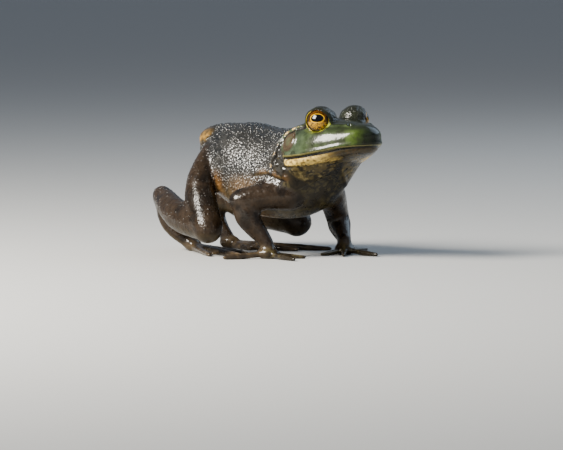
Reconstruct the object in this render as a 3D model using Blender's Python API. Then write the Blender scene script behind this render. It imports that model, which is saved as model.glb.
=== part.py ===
"""American bullfrog, life size, sitting alert with its rump high and its head turned a little to its right.

The frog faces +X, its left side is +Y, and it stands on z = 0. Every size is in millimetres until MM turns it
into metres as a mesh is made. The trunk and head are lofted as one body and then parted by thin cuts. Each
limb piece is lofted along its bone, and gives way by GAP to the pieces that it grows from.
"""

import math

import bmesh
import bpy
import numpy as np
from mathutils import Matrix, Vector

MM = 0.001
GAP = 0.35  # the width of every cut between two pieces
UP = np.array([0.0, 0.0, 1.0])

# One row for each cross-section of the body, from the vent to the tip of the snout:
# x, half width, top, height of the widest line, underside, roundness above, roundness below
BODY = (
    (-58.0, 2.5, 64.5, 62.0, 59.5, 2.0, 2.0),
    (-56.0, 7.0, 67.3, 60.0, 53.0, 2.0, 2.0),
    (-50.0, 13.0, 69.6, 55.5, 43.0, 2.0, 2.0),
    (-41.0, 19.0, 70.5, 50.0, 33.0, 2.1, 2.1),
    (-32.0, 23.2, 70.7, 46.0, 26.5, 2.1, 2.3),
    (-21.0, 25.6, 71.5, 43.0, 22.5, 2.1, 2.4),
    (-10.0, 26.0, 69.2, 41.0, 20.6, 2.1, 2.4),
    (2.0, 25.2, 68.7, 41.0, 20.0, 2.2, 2.4),
    (12.0, 24.4, 70.4, 44.0, 21.0, 2.3, 2.3),
    (21.0, 24.2, 72.9, 49.5, 25.0, 2.3, 2.2),
    (29.0, 24.2, 74.6, 54.4, 32.0, 2.4, 2.2),
    (37.0, 23.7, 75.6, 55.8, 42.4, 2.4, 1.9),
    (45.0, 22.3, 76.0, 57.4, 49.3, 2.4, 1.7),
    (53.0, 19.7, 75.7, 59.4, 53.3, 2.4, 1.7),
    (60.0, 16.3, 74.9, 61.3, 56.0, 2.3, 1.8),
    (66.5, 12.3, 73.5, 63.0, 58.6, 2.2, 2.0),
    (71.6, 8.0, 71.6, 64.4, 61.4, 2.1, 2.0),
    (74.8, 2.6, 68.5, 65.4, 63.8, 2.0, 2.0),
)
BODY_RINGS = 32
BODY_SIDES = 24

# The head turns about an upright line, more and more along the neck.
NECK_X = (4.0, 22.0)
HEAD_TURN = math.radians(-11.0)

# Profiles in x and z of the two cuts that part the head, the lower jaw and the trunk.
NECK_CUT = ((12.0, 84.0), (27.0, 55.0), (46.0, 20.0))
MOUTH_CUT = ((27.1, 54.6), (34.0, 55.2), (43.0, 56.6), (54.0, 59.4), (63.0, 62.0), (80.0, 66.6))

EYE = (43.9, 11.2, 74.7)
EYE_RADIUS = 7.2
EYE_GAZE = (math.radians(62.0), math.radians(6.0))  # out from straight ahead, and up
LID_REACH = 3.4  # how far out along the gaze the lids close round the eye
OPENING_REACH = 14.0  # how far out the cut that opens the lids runs
BROW_SIZE = (8.9, 8.3, 8.7)

EAR = (29.5, 64.0)
EAR_RADIUS = 4.8
EAR_DEPTH = 1.4
DRUM_SINK = 0.2  # how far the middle of the eardrum lies inside the skin's line

# Joints of the right limbs and of the left ones, with the headings of the foot and the hand in degrees.
RIGHT = {
    "hip": (-44.0, -11.0, 51.0), "knee": (-23.0, -36.9, 15.3), "heel": (-74.8, -18.0, 30.0),
    "ball": (-57.0, -12.5, 3.4), "foot": -20.0,
    "shoulder": (19.0, -16.0, 34.0), "elbow": (-1.5, -34.0, 31.0), "wrist": (10.6, -25.5, 8.0),
    "hand": 0.0,
}
LEFT = {
    "hip": (-44.0, 11.0, 51.0), "knee": (-24.0, 36.5, 15.0), "heel": (-73.0, 22.0, 30.0),
    "ball": (-56.5, 17.0, 3.4), "foot": 20.0,
    "shoulder": (19.0, 16.0, 34.0), "elbow": (6.5, 35.5, 20.0), "wrist": (21.5, 25.0, 8.0),
    "hand": -15.0,
}
# The joints at each end of a bone, and how far its flesh stands off the straight line: back, out and up.
BONES = {
    "upper_arm": ("shoulder", "elbow", (0.0, 0.0, 1.0)),
    "forearm": ("elbow", "wrist", (-1.5, 1.0, 0.0)),
    "thigh": ("hip", "knee", (-3.8, 4.0, 1.2)),
    "shank": ("knee", "heel", (-2.7, 2.4, -1.6)),
    "tarsus": ("heel", "ball", (-5.0, 3.0, -2.0)),
}
# Half thickness along each bone: share of the length, across, and in the limb's own plane.
SIZES = {
    "upper_arm": ((0.0, 8.0, 8.5), (0.5, 7.4, 7.8), (1.0, 6.6, 7.0)),
    "forearm": ((0.0, 5.4, 5.8), (0.3, 6.8, 7.4), (0.75, 4.8, 5.2), (1.0, 3.6, 3.8)),
    "thigh": ((0.0, 6.0, 10.5), (0.4, 8.2, 11.5), (0.7, 9.0, 10.5), (1.0, 8.6, 8.8)),
    "shank": ((0.0, 7.6, 7.6), (0.25, 8.4, 8.6), (0.55, 8.2, 8.6), (0.8, 6.8, 7.2), (1.0, 5.8, 6.0)),
    "tarsus": ((0.0, 4.4, 5.0), (0.5, 3.6, 4.4), (1.0, 4.0, 3.8)),
}
# Each piece after the pieces of its own limb that it gives way to.
LIMB_ORDER = (
    ("upper_arm", ()), ("forearm", ("upper_arm",)), ("thigh", ()), ("shank", ("thigh",)),
    ("tarsus", ("shank", "thigh")),
)
LIMB_SIDES = 12

# From the inner one: turn from the heading of the hand or foot, length, and half thickness at the root.
TOES = ((38.0, 24.0, 1.9), (26.0, 34.0, 2.0), (13.0, 46.0, 2.1), (0.0, 60.0, 2.3), (-15.0, 44.0, 2.0))
FINGERS = ((78.0, 18.0, 1.9), (36.0, 20.0, 1.9), (-12.0, 24.0, 2.0), (-118.0, 25.0, 2.1))
KNUCKLES = ((0.0, 1.0), (0.3, 0.84), (0.42, 0.96), (0.58, 0.7), (0.72, 0.82), (1.0, 0.5))
PALM_SIZE = (6.4, 5.8, 3.6)
SOLE_SIZE = (6.0, 4.6, 4.0)
DIGIT_ROOT = 2.6  # height of a digit's line where it leaves the palm
WEB_REACH = (0.86, 0.62)  # share of a toe's length at the toe, and midway between two toes
WEB_TOP = (2.4, 1.0)  # height at the root of the toes, and along the free edge
WEB_HOLLOW = 0.7  # how squarely the free edge bends in between two toes
BURIED = 1.5  # how far a foot's shapes run below the floor before it cuts them level

# Paint: colour and roughness, and the first word of the pieces that wear it.
PAINTS = {
    "green_skin": ((0.11, 0.16, 0.04), 0.3, ("head",)),
    "pale_skin": ((0.42, 0.38, 0.16), 0.35, ("lower",)),
    "brown_skin": ((0.09, 0.065, 0.035), 0.35, ("trunk", "upper", "forearm", "palm", "finger", "thigh",
                                               "shank", "tarsus", "foot")),
    "drum_skin": ((0.26, 0.16, 0.09), 0.4, ("eardrum",)),
    "gold_iris": ((0.75, 0.38, 0.04), 0.1, ("eye",)),
}


def spline(rows, count):
    """Rows read at even steps along a smooth curve through the given ones, closer where those are close."""
    rows = np.asarray(rows, float)
    knots = np.concatenate([[0.0], np.cumsum(np.linalg.norm(np.diff(rows, axis=0), axis=1) ** 0.5)])
    slopes = np.gradient(rows, knots, axis=0)
    found = []
    for u in np.linspace(0.0, knots[-1], count):
        i = min(max(int(np.searchsorted(knots, u, side="right")) - 1, 0), len(rows) - 2)
        h = knots[i + 1] - knots[i]
        t = (u - knots[i]) / h
        found.append(
            (2 * t**3 - 3 * t**2 + 1) * rows[i] + (t**3 - 2 * t**2 + t) * h * slopes[i]
            + (3 * t**2 - 2 * t**3) * rows[i + 1] + (t**3 - t**2) * h * slopes[i + 1]
        )
    return np.array(found)


def around(sides):
    """Angles evenly round a circle."""
    return np.linspace(0.0, 2 * math.pi, sides, endpoint=False)


def power(value, exponent):
    return np.sign(value) * np.abs(value) ** exponent


def object_of(name, grid):
    """A mesh object from a closed bmesh, its normals facing out."""
    bmesh.ops.recalc_face_normals(grid, faces=grid.faces)
    mesh = bpy.data.meshes.new(name)
    grid.to_mesh(mesh)
    grid.free()
    made = bpy.data.objects.new(name, mesh)
    bpy.context.scene.collection.objects.link(made)
    return made


def solid(name, points, faces):
    """A mesh object from points in millimetres and the faces between them."""
    grid = bmesh.new()
    verts = [grid.verts.new(Vector(point) * MM) for point in np.asarray(points, float)]
    for face in faces:
        grid.faces.new([verts[i] for i in face])
    return object_of(name, grid)


def loft(name, rings):
    """A closed skin through rings of the same number of points, each end closed by a fan."""
    count, sides = len(rings), len(rings[0])
    faces = [
        (i * sides + j, i * sides + (j + 1) % sides, (i + 1) * sides + (j + 1) % sides, (i + 1) * sides + j)
        for i in range(count - 1) for j in range(sides)
    ]
    last = (count - 1) * sides
    faces += [(count * sides, (j + 1) % sides, j) for j in range(sides)]
    faces += [(count * sides + 1, last + j, last + (j + 1) % sides) for j in range(sides)]
    ends = [np.mean(rings[0], axis=0), np.mean(rings[-1], axis=0)]
    return solid(name, np.vstack([*rings, ends]), faces)


def body(name, grow=0.0):
    """Trunk and head in one, from the table of cross-sections."""
    rows = spline(BODY, BODY_RINGS)
    rows[0, 0] -= grow
    rows[-1, 0] += grow
    across, up = np.cos(around(BODY_SIDES)), np.sin(around(BODY_SIDES))
    rings = []
    for x, half, top, wide, low, above, below in rows:
        shape = 2.0 / np.where(up >= 0, above, below)
        reach = np.where(up >= 0, top - wide, wide - low) + grow
        y, z = (half + grow) * power(across, shape), wide + reach * power(up, shape)
        rings.append(np.column_stack([np.full(BODY_SIDES, x), y, z]))
    return loft(name, rings)


def frame_of(direction, plane):
    """Unit vectors along a direction, across it, and in the plane that it makes with the second vector."""
    along = direction / np.linalg.norm(direction)
    across = np.cross(along, plane)
    across /= np.linalg.norm(across)
    return along, across, np.cross(across, along)


def limb(name, path, sizes, plane, sides=LIMB_SIDES, rings=7, grow=0.0):
    """A tapering limb along a smooth path, round at both ends."""
    path = spline(path, rings)
    share, table = np.linspace(0.0, 1.0, rings), np.asarray(sizes, float)
    wide = np.interp(share, table[:, 0], table[:, 1]) + grow
    deep = np.interp(share, table[:, 0], table[:, 2]) + grow
    tangents = np.gradient(path, axis=0)
    found = []
    for i in range(rings):
        along, across, inward = frame_of(tangents[i], plane)
        ring = np.outer(np.cos(around(sides)), across) * wide[i]
        ring += np.outer(np.sin(around(sides)), inward) * deep[i]
        root, tip = (-0.3 * math.pi,) * (i == 0), (0.18 * math.pi, 0.36 * math.pi) * (i == rings - 1)
        for angle in (*root, 0.0, *tip):
            rise = 0.5 * (wide[i] + deep[i]) * math.sin(angle)
            found.append(path[i] + along * rise + ring * math.cos(angle))
    return loft(name, found)


def ball(name, centre, size, heading=0.0, segments=16, rings=10):
    """An ellipsoid with its poles up and down, turned to a heading."""
    place = Matrix.Translation(Vector(centre) * MM) @ Matrix.Rotation(heading, 4, "Z")
    grid = bmesh.new()
    bmesh.ops.create_uvsphere(
        grid, u_segments=segments, v_segments=rings, radius=MM, matrix=place @ Matrix.Diagonal((*size, 1.0))
    )
    return object_of(name, grid)


def rod(name, start, end, radius, sides=20):
    """A straight round rod with flat ends."""
    start, end = Vector(start), Vector(end)
    turn = (end - start).to_track_quat("Z", "Y").to_matrix().to_4x4()
    grid = bmesh.new()
    bmesh.ops.create_cone(
        grid, cap_ends=True, segments=sides, radius1=radius * MM, radius2=radius * MM,
        depth=(end - start).length * MM, matrix=Matrix.Translation(0.5 * (start + end) * MM) @ turn,
    )
    return object_of(name, grid)


def ground(name="ground", half=200.0, depth=40.0):
    """The block below the floor, which flattens what stands on it."""
    size = Matrix.Diagonal((2 * half * MM, 2 * half * MM, depth * MM, 1.0))
    grid = bmesh.new()
    bmesh.ops.create_cube(grid, size=1.0, matrix=Matrix.Translation((0.0, 0.0, -0.5 * depth * MM)) @ size)
    return object_of(name, grid)


def sheet(name, profile, half=60.0, thick=GAP):
    """A thin sheet that stands across the body along a line drawn in x and z."""
    line = np.asarray(profile, float)
    ways = np.gradient(line, axis=0)
    off = np.column_stack([-ways[:, 1], ways[:, 0]])
    off *= 0.5 * thick / np.linalg.norm(off, axis=1)[:, None]
    outline = [*(line + off), *(line - off)[::-1]]
    count = len(outline)
    points = [(x, side * half, z) for side in (-1, 1) for x, z in outline]
    walls = [(i, (i + 1) % count, count + (i + 1) % count, count + i) for i in range(count)]
    return solid(name, points, [*walls, range(count), range(2 * count - 1, count - 1, -1)])


def combine(target, others, operation, solver="EXACT"):
    """Works a Boolean with each of the others into the target's mesh, and removes them."""
    for other in others:
        step = target.modifiers.new("step", "BOOLEAN")
        step.object, step.operation, step.solver = other, operation, solver
        graph = bpy.context.evaluated_depsgraph_get()
        mesh = bpy.data.meshes.new_from_object(target.evaluated_get(graph))
        target.modifiers.clear()
        target.data = mesh
        bpy.data.objects.remove(other)
    return target


def loose_parts(whole):
    """One object for each separate body in a mesh, and the whole removed."""
    grid = bmesh.new()
    grid.from_mesh(whole.data)
    left, found = set(grid.verts), []
    while left:
        members, queue = set(), [next(iter(left))]
        while queue:
            vert = queue.pop()
            if vert not in members:
                members.add(vert)
                queue += [edge.other_vert(vert) for edge in vert.link_edges]
        left -= members
        part = grid.copy()
        part.verts.ensure_lookup_table()
        spare = [part.verts[vert.index] for vert in grid.verts if vert not in members]
        bmesh.ops.delete(part, geom=spare, context="VERTS")
        found.append(object_of("part", part))
    grid.free()
    bpy.data.objects.remove(whole)
    return found


def largest(whole):
    """The body with the most points, without the crumbs that a cut leaves behind."""
    parts = sorted(loose_parts(whole), key=lambda part: len(part.data.vertices))
    for crumb in parts[:-1]:
        bpy.data.objects.remove(crumb)
    return parts[-1]


def mean_of(part, axis):
    return np.mean([vert.co[axis] for vert in part.data.vertices])


def turn_head(made):
    """Bends a mesh sideways along the neck, and carries all ahead of it round with the head."""
    start, end = NECK_X
    rate = HEAD_TURN / (end - start)
    for vert in made.data.vertices:
        x, y = vert.co.x / MM, vert.co.y / MM
        bent = min(max(x - start, 0.0), end - start)
        past, angle = x - start - bent, rate * bent
        vert.co.x = (start + math.sin(angle) / rate + past * math.cos(angle) - y * math.sin(angle)) * MM
        vert.co.y = ((1 - math.cos(angle)) / rate + past * math.sin(angle) + y * math.cos(angle)) * MM
    return made


def side_of_body(x, z):
    """Half width of the straight body at a station and a height."""
    rows = spline(BODY, 200)
    half, top, wide, low, above, below = (np.interp(x, rows[:, 0], rows[:, i]) for i in range(1, 7))
    reach, shape = (top - wide, above) if z > wide else (wide - low, below)
    return half * max(1 - (abs(z - wide) / reach) ** shape, 0.0) ** (1 / shape)


def out_of_body(x, z, step=1.5):
    """Unit vector straight out of the left side of the straight body."""
    slope_x = (side_of_body(x + step, z) - side_of_body(x - step, z)) / (2 * step)
    slope_z = (side_of_body(x, z + step) - side_of_body(x, z - step)) / (2 * step)
    out = np.array([-slope_x, 1.0, -slope_z])
    return out / np.linalg.norm(out)


def add_eye(head, side):
    """Raises the brow on one side, hollows it, opens the lids, and returns the eyeball."""
    turn, rise = EYE_GAZE
    gaze = np.array([math.cos(turn) * math.cos(rise), side * math.sin(turn) * math.cos(rise), math.sin(rise)])
    eye = np.array(EYE) * [1, side, 1]
    heading = side * (turn - 0.5 * math.pi)
    socket = EYE_RADIUS + GAP
    aperture = math.sqrt(socket**2 - LID_REACH**2)
    combine(head, [ball("brow", eye, BROW_SIZE, heading)], "UNION")
    opening = rod("opening", eye + gaze * LID_REACH, eye + gaze * OPENING_REACH, aperture)
    combine(head, [ball("socket", eye, [socket] * 3, heading), opening], "DIFFERENCE")
    return ball("eye", eye, [EYE_RADIUS] * 3, heading)


def add_eardrum(head, side):
    """Sinks a round pit behind the eye, and returns the eardrum that lies in it."""
    out = out_of_body(*EAR) * [1, side, 1]
    centre = np.array([EAR[0], side * side_of_body(*EAR), EAR[1]])
    floor = centre - EAR_DEPTH * out
    combine(head, [rod("pit", floor, centre + EAR_RADIUS * out, EAR_RADIUS + GAP)], "DIFFERENCE")
    return rod("drum", floor + GAP * out, centre - DRUM_SINK * out, EAR_RADIUS)


def make_body():
    """Trunk, head, lower jaw, eyes and eardrums, with the head turned."""
    whole = combine(body("whole"), [sheet("neck", NECK_CUT), sheet("mouth", MOUTH_CUT)], "DIFFERENCE")
    trunk, *front = sorted(loose_parts(whole), key=lambda part: mean_of(part, 0))
    jaw, head = sorted(front, key=lambda part: mean_of(part, 2))
    pieces = {"trunk": trunk, "lower_jaw": jaw, "head": head}
    for side, word in ((-1, "right"), (1, "left")):
        pieces[f"eye_{word}"] = add_eye(head, side)
        pieces[f"eardrum_{word}"] = add_eardrum(head, side)
    return {name: turn_head(piece) for name, piece in pieces.items()}


def digit(name, root, heading, length, thick):
    """A finger or toe that runs out along the ground from a raised root, thicker at its joints."""
    way = np.array([math.cos(heading), math.sin(heading), 0.0])
    path = np.array([root + way * share * length for share in (0.0, 0.3, 0.65, 1.0)])
    path[:, 2] = [DIGIT_ROOT, 0.5 * DIGIT_ROOT + 0.5 * thick, 0.7 * thick, 0.55 * thick]
    sizes = [(share, thick * part, thick * part) for share, part in KNUCKLES]
    return limb(name, path, sizes, UP, sides=8, rings=5)


def web(name, root, rays):
    """The web of a foot, as one fan from the root of the toes, hollowed between each toe and the next."""
    edge = []
    for (heading, length), (next_heading, next_length) in zip(rays, rays[1:]):
        # The web leaves the longer toe a quarter of the difference further out than the shorter one.
        shorter, more = min(length, next_length) * WEB_REACH[0], 0.25 * (length - next_length)
        start, end = shorter + max(more, 0.0), shorter + max(-more, 0.0)
        for share in (0.0, 0.25, 0.5, 0.75):
            hollow = 1.0 - (1.0 - WEB_REACH[1] / WEB_REACH[0]) * math.sin(math.pi * share) ** WEB_HOLLOW
            edge.append((heading + (next_heading - heading) * share, (start + (end - start) * share) * hollow))
    edge.append((rays[-1][0], rays[-1][1] * WEB_REACH[0]))
    ways = [(math.cos(turned) * reach, math.sin(turned) * reach) for turned, reach in edge]
    middle = rays[2][0]
    ring = [(-2.0 * math.cos(middle), -2.0 * math.sin(middle)), *ways]
    count = len(ring)
    points = [(root[0] + x, root[1] + y, WEB_TOP[i > 0]) for i, (x, y) in enumerate(ring)]
    points += [(x, y, -BURIED) for x, y, _ in points]
    fan = [(0, i, i + 1) for i in range(1, count - 1)]
    under = [(count + a, count + c, count + b) for a, b, c in fan]
    walls = [(i, (i + 1) % count, count + (i + 1) % count, count + i) for i in range(count)]
    return solid(name, points, fan + under + walls)


def make_limbs(joints, side, word):
    """The limbs of one side, each piece giving way to the ones before it."""
    at = {name: np.array(value, float) for name, value in joints.items()}

    def bone(name, grow=0.0):
        start, end, bow = BONES[name]
        middle = 0.5 * (at[start] + at[end]) + np.array(bow) * [1, side, 1]
        plane = np.array([0.2, side, 0.4]) if name == "tarsus" else UP
        return limb(name, [at[start], middle, at[end]], SIZES[name], plane, grow=grow)

    def rays(digits, limb_end):
        facing = math.radians(joints[limb_end])
        return [(facing - side * math.radians(turn), length) for turn, length, _ in digits]

    def flattened(made, above):
        return largest(combine(made, [ground(), *(bone(name, GAP) for name in above)], "DIFFERENCE"))

    pieces = {}
    for name, neighbours in LIMB_ORDER:
        cutters = [ground(), turn_head(body("body", GAP)), *(bone(other, GAP) for other in neighbours)]
        pieces[name] = largest(combine(bone(name), cutters, "DIFFERENCE"))

    root, facing = at["wrist"] * [1, 1, 0] + [0, 0, 3.0], math.radians(joints["hand"])
    palm_cut = np.array(PALM_SIZE) + GAP
    for i, ((heading, length), (_, _, thick)) in enumerate(zip(rays(FINGERS, "hand"), FINGERS), 1):
        finger = digit("finger", root, heading, length, thick)
        finger = combine(finger, [ball("palm", root, palm_cut, facing, segments=12, rings=8)], "DIFFERENCE")
        pieces[f"finger_{i}"] = flattened(finger, ())
    pieces["palm"] = flattened(ball("palm", root, PALM_SIZE, facing, segments=12, rings=8), ("forearm",))

    root, facing = at["ball"], math.radians(joints["foot"])
    foot = ball("foot", root, SOLE_SIZE, facing, segments=12, rings=8)
    toes = [digit("toe", root, *ray, thick) for ray, (_, _, thick) in zip(rays(TOES, "foot"), TOES)]
    combine(foot, [*toes, web("web", root, rays(TOES, "foot"))], "UNION", "MANIFOLD")
    pieces["foot"] = flattened(foot, ("tarsus", "shank", "thigh"))
    return {f"{name}_{word}": piece for name, piece in pieces.items()}


def centre(pieces):
    """Moves everything together so that the middle of its outer box stands over the origin."""
    points = np.array([vert.co[:2] for piece in pieces.values() for vert in piece.data.vertices])
    middle = 0.5 * (points.min(axis=0) + points.max(axis=0))
    for piece in pieces.values():
        piece.data.transform(Matrix.Translation((-middle[0], -middle[1], 0.0)))


def paint(pieces):
    """One material for each kind of surface."""
    for name, (colour, roughness, kinds) in PAINTS.items():
        made = bpy.data.materials.new(name)
        made.use_nodes = True
        shader = made.node_tree.nodes["Principled BSDF"]
        shader.inputs["Base Color"].default_value = (*colour, 1.0)
        shader.inputs["Roughness"].default_value = roughness
        for piece_name, piece in pieces.items():
            if piece_name.split("_")[0] in kinds:
                piece.data.materials.clear()
                piece.data.materials.append(made)


def main():
    for old in list(bpy.data.objects):
        bpy.data.objects.remove(old)
    pieces = make_body()
    for joints, side, word in ((RIGHT, -1, "right"), (LEFT, 1, "left")):
        pieces.update(make_limbs(joints, side, word))
    centre(pieces)
    paint(pieces)
    for name, piece in pieces.items():
        piece.name = piece.data.name = name
        piece.data.shade_smooth()
        piece.data.set_sharp_from_angle(angle=math.radians(40.0))


main()
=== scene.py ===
"""Dresses the still bullfrog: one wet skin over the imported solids, eyes, granules, floor, light and camera.

Features are placed in millimetres on a straight frog. The bend of the neck takes them to the frame, in metres.
"""

from __future__ import annotations

import logging
import math
from dataclasses import dataclass, field
from enum import Enum
from functools import partial

import bmesh
import bpy
import numpy as np
from mathutils import Matrix, Vector
from mathutils.bvhtree import BVHTree


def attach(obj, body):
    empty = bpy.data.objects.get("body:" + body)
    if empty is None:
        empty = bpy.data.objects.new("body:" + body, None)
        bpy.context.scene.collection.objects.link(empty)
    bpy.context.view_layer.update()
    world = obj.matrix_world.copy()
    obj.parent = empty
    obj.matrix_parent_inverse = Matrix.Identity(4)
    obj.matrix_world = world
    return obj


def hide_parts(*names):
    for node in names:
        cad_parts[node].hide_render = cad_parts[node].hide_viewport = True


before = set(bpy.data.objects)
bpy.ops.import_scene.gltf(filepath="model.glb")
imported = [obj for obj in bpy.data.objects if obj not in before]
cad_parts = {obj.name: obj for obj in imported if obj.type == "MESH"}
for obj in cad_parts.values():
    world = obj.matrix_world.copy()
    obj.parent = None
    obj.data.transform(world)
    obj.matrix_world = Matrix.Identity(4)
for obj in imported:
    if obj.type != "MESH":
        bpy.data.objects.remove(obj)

MM = 0.001
LOG = logging.getLogger("bullfrog")
BODY = "root"
Array = np.ndarray
Faces = list[tuple[int, ...]]
Triple = tuple[float, float, float]
Colour = tuple[float, float, float, float]
Object, Material, Socket = bpy.types.Object, bpy.types.Material, bpy.types.NodeSocket
Input = "Socket | float | str | tuple"


class Slot(Enum):
    """Names of two material slots, for the skin and the eyes."""

    SKIN = "skin"
    EYE = "eye"


def srgb(red: int, green: int, blue: int) -> Array:
    """Linear colour of screen values from 0 to 255."""
    value = np.array([red, green, blue]) / 255.0
    return np.where(value <= 0.04045, value / 12.92, ((value + 0.055) / 1.055) ** 2.4)


def step(values: Array, start: float, end: float) -> Array:
    """Smooth rise from 0 at start to 1 at end, or a fall where end is the smaller."""
    share = np.clip((values - start) / (end - start), 0.0, 1.0)
    return share * share * (3.0 - 2.0 * share)


def bell(values: Array, width: float | Array) -> Array:
    """A rounded hump, 1 at zero and about a third at its width."""
    return np.exp(-((values / width) ** 2))


def off(points: Array, spot: Triple, stretch: Triple = (1, 1, 1)) -> Array:
    """Distance of points from a spot, where stretch is how much distance along each axis counts."""
    return np.linalg.norm((points - np.array(spot)) * stretch, axis=1)


PRIMES = 374761393, 668265263, 2246822519, 3266489917
WORD = 0xFFFFFFFF


def lattice(cells: Array, seed: int) -> Array:
    """Random numbers, one for each whole-numbered cell.

    Args:
        cells: The cells.
        seed: Which set of numbers.

    Returns:
        Numbers from 0 to 1.
    """
    cells, word = cells.astype(np.uint64), np.uint64(WORD)
    first, second, third, fourth = (np.uint64(prime) for prime in PRIMES)
    mixed = cells[:, 0] * first + cells[:, 1] * second + cells[:, 2] * third + np.uint64(seed * PRIMES[3]) & word
    for shift, prime in ((15, third), (13, fourth)):
        mixed = (mixed ^ (mixed >> np.uint64(shift))) * prime & word
    return (mixed ^ (mixed >> np.uint64(16))).astype(float) / WORD


def noise(points: Array, size: float, seed: int, octaves: int = 2) -> Array:
    """Smooth random field.

    Args:
        points: Where to read it, in millimetres.
        size: Width of its blotches in millimetres.
        seed: Which field.
        octaves: How many finer fields are added.

    Returns:
        Values from about -1 to 1.
    """
    total, weight, scale = np.zeros(len(points)), 0.0, 1.0
    for octave in range(octaves):
        at = points / size * scale + 1000.0 + 17.3 * octave
        low = np.floor(at)
        part = at - low
        part = part * part * (3.0 - 2.0 * part)
        value = np.zeros(len(points))
        for corner in range(8):
            bits = np.array([corner & 1, corner >> 1 & 1, corner >> 2 & 1])
            share = np.prod(np.where(bits, part, 1.0 - part), axis=1)
            value += share * lattice(low + bits, seed + 31 * octave)
        total += (2.0 * value - 1.0) / scale
        weight += 1.0 / scale
        scale *= 2.0
    return 1.6 * total / weight


@dataclass(frozen=True)
class Neck:
    """The bend of the neck, from the straight frog, +X ahead and +Y to the left, to the turned one."""

    start: float = 4.0
    end: float = 22.0
    turn: float = math.radians(-11.0)
    vent_x: float = -58.0

    @property
    def offset(self) -> Array:
        """Finds where the trunk starts.

        Returns:
            The way from straight positions to the frame, for all behind the neck.
        """
        points = read(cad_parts["trunk"].data.vertices, "co", 3).astype(float) / MM
        rear = points[points[:, 0] < points[:, 0].min() + 0.01]
        return np.array([rear[0, 0] - self.vent_x, rear[:, 1].mean(), 0.0])

    @property
    def rate(self) -> float:
        """How fast it turns, in radians for each millimetre."""
        return self.turn / (self.end - self.start)

    @property
    def tip(self) -> tuple[float, float]:
        """Where its curve ends, ahead of its start and to the left."""
        return math.sin(self.turn) / self.rate, (1.0 - math.cos(self.turn)) / self.rate

    def straighten(self, points: Array) -> Array:
        """Straight positions of points in the frame.

        Args:
            points: Positions in the frame, in metres.

        Returns:
            The same points on the straight frog, in millimetres.
        """
        out = points / MM - self.offset
        x, y, radius = out[:, 0] - self.start, out[:, 1].copy(), 1.0 / self.rate
        angle = np.arctan2(-x, y - radius)
        over_x, over_y = x - self.tip[0], y - self.tip[1]
        sine, cosine = math.sin(self.turn), math.cos(self.turn)
        ahead, aside = self.end + over_x * cosine + over_y * sine, over_y * cosine - over_x * sine
        behind, past = x <= 0.0, angle < self.turn
        out[:, 0] = np.where(behind, out[:, 0], np.where(past, ahead, self.start + angle / self.rate))
        out[:, 1] = np.where(behind, y, np.where(past, aside, radius + np.hypot(x, y - radius)))
        return out

    def head_matrix(self) -> Matrix:
        """Works out the head's place.

        Returns:
            What moves straight positions on the head, in metres, to the frame.
        """
        end = Vector(np.array([self.start + self.tip[0], self.tip[1], 0.0]) + self.offset)
        bend = Matrix.Translation(end * MM) @ Matrix.Rotation(self.turn, 4, "Z")
        return bend @ Matrix.Translation((-self.end * MM, 0.0, 0.0))


@dataclass(frozen=True)
class EyeSeat:
    """Where an eye sits on the straight frog, and where it looks. Side is 1 for the left eye and -1 for the right."""

    side: int
    centre: Triple = (43.9, 11.2, 74.7)
    lids: tuple[float, float] = (62.0, 6.0)
    look: tuple[float, float] = (54.0, 16.0)
    radius: float = 7.2
    proud: float = 0.8
    opening: tuple[float, ...] = (62.0, 17.0, 13.0, 2.0)  # degrees behind, and how many fewer above, below and ahead
    lid_radius: float = 8.0  # of the lids' edge
    reach: float = 9.5  # how far from the centre the lids go

    def middle(self) -> Vector:
        """Centre of the eyeball in millimetres, a little out from the centre of its socket."""
        socket = Vector((self.centre[0], self.side * self.centre[1], self.centre[2]))
        return socket + self.proud * self.axes(self.lids)[0]

    def axes(self, heading: tuple[float, float]) -> tuple[Vector, Vector, Vector]:
        """Directions around a line out of the eye.

        Args:
            heading: Degrees out from straight ahead, and up.

        Returns:
            The line itself, the direction across it towards the snout, and the direction up.
        """
        out, rise = math.radians(heading[0]), math.radians(heading[1])
        gaze = Vector((math.cos(out) * math.cos(rise), self.side * math.sin(out) * math.cos(rise), math.sin(rise)))
        front = Vector((0, 0, 1)).cross(gaze).normalized() * -self.side
        up = gaze.cross(front) * -self.side
        return gaze, front, up.normalized()

    def edge(self, ahead: Array, above: Array) -> Array:
        """Angle from the gaze at which the lids open.

        Args:
            ahead: How far the way round points to the snout, -1 to 1.
            above: How far it points up, -1 to 1.

        Returns:
            The angle in radians.
        """
        rear, top, bottom, front = self.opening
        degrees = rear - top * step(above, -0.1, 0.95) - bottom * step(-above, -0.1, 0.95)
        return np.radians(degrees - front * step(ahead, 0, 1))

    def around(self, pair: Array) -> tuple[Array, Array, Array, Array]:
        """Where points lie round the left eye.

        Args:
            pair: Straight positions in millimetres, with the sides folded together.

        Returns:
            Millimetres outward from the lids' edge, how far ahead and above, -1 to 1, and millimetres off the eyeball.
        """
        gaze, front, up = (np.array(axis) for axis in self.axes(self.lids))
        away = pair - np.array(self.middle())
        ahead, above = away @ front, away @ up
        across = np.maximum(np.hypot(ahead, above), 1e-6)
        polar = np.arctan2(across, away @ gaze)
        ahead, above = ahead / across, above / across
        far = np.linalg.norm(away, axis=1)
        offset = (polar - self.edge(ahead, above)) * self.lid_radius + 2.0 * np.maximum(far - self.reach, 0.0)
        return offset, ahead, above, far - self.radius


def read(items: bpy.types.bpy_prop_collection, key: str, width: int, kind: type = np.float32) -> Array:
    """Reads one property of all of a mesh's items.

    Args:
        items: Its points, edges or normals.
        key: The property.
        width: How many numbers each item holds.
        kind: Their type.

    Returns:
        A row for each item.
    """
    flat = np.empty(len(items) * width, kind)
    items.foreach_get(key, flat)
    return flat.reshape(-1, width)


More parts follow.
